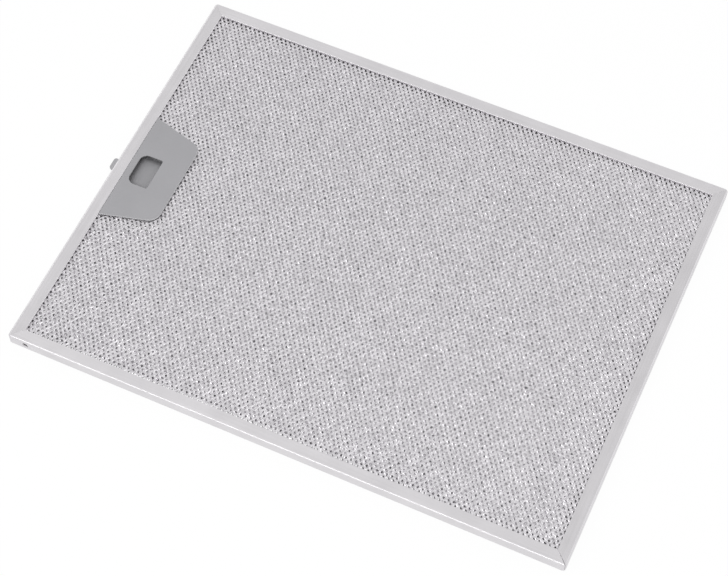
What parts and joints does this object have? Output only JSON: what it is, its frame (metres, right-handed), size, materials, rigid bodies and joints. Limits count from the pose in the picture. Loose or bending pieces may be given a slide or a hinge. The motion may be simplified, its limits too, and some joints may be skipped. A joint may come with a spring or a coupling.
{
  "type": "cooker hood grease filter",
  "caption": "Flat rectangular grease filter: a folded aluminium frame round layered expanded meshes, with a grey plastic sprung finger latch in one short side.",
  "frame": {"origin": "middle of the rear face, on the surface that the filter lies on", "axes": "+Z out of the front face, +X along the long side away from the latch, +Y across"},
  "size_m": [0.3492, 0.268, 0.008],
  "materials": {
    "frame_aluminium": "satin",
    "mesh_aluminium": "bright mill",
    "foil_aluminium": "bright foil",
    "latch_plastic": "fine matt",
    "spring_steel": "drawn wire"
  },
  "bodies": {
    "filter": {"frame": "frame_aluminium", "front_mesh": "mesh_aluminium", "foil_mesh_1": "foil_aluminium", "foil_mesh_2": "foil_aluminium", "foil_mesh_3": "foil_aluminium", "rear_mesh": "mesh_aluminium", "latch_housing": "latch_plastic", "latch_rear_cover": "latch_plastic", "latch_spring": "spring_steel"},
    "latch": {"latch_slider": "latch_plastic"}
  },
  "joints": [
    {"name": "latch_slide", "type": "slide", "parent": "filter", "child": "latch", "axis": [1, 0, 0], "range_m": [0, 0.0042], "stiffness_N_per_m": 400, "springref_m": -0.006, "deforming": ["latch_spring"]}
  ]
}
